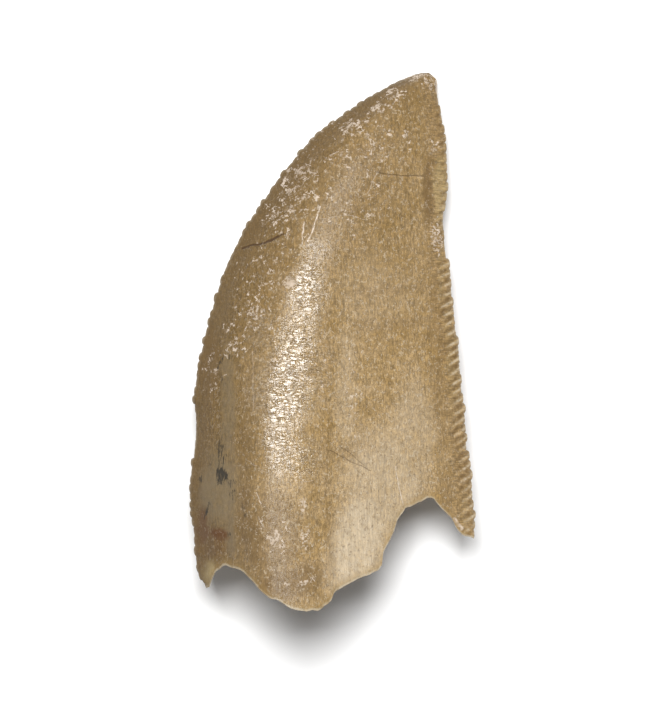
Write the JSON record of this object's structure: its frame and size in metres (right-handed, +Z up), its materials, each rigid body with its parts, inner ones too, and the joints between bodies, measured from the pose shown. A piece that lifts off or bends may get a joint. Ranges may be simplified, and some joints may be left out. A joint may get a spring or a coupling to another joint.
{
  "type": "majungasaurus tooth",
  "caption": "Fossil tooth crown of a large meat-eating dinosaur, lying on its flatter face, with serrated cutting edges and a broken hollow base.",
  "frame": {"origin": "on the surface the tooth lies on, under the middle of its outline", "axes": "+Y from the broken base to the tip, +Z up from the surface to the cheek-side face, +X to the rear cutting edge"},
  "size_m": [0.0144, 0.0269, 0.0075],
  "materials": {
    "tooth": "fossil enamel, honey brown, satin where it is sound and pale and matt where it is worn or split off"
  },
  "bodies": {
    "root": {"tooth_crown": "tooth"}
  },
  "joints": []
}
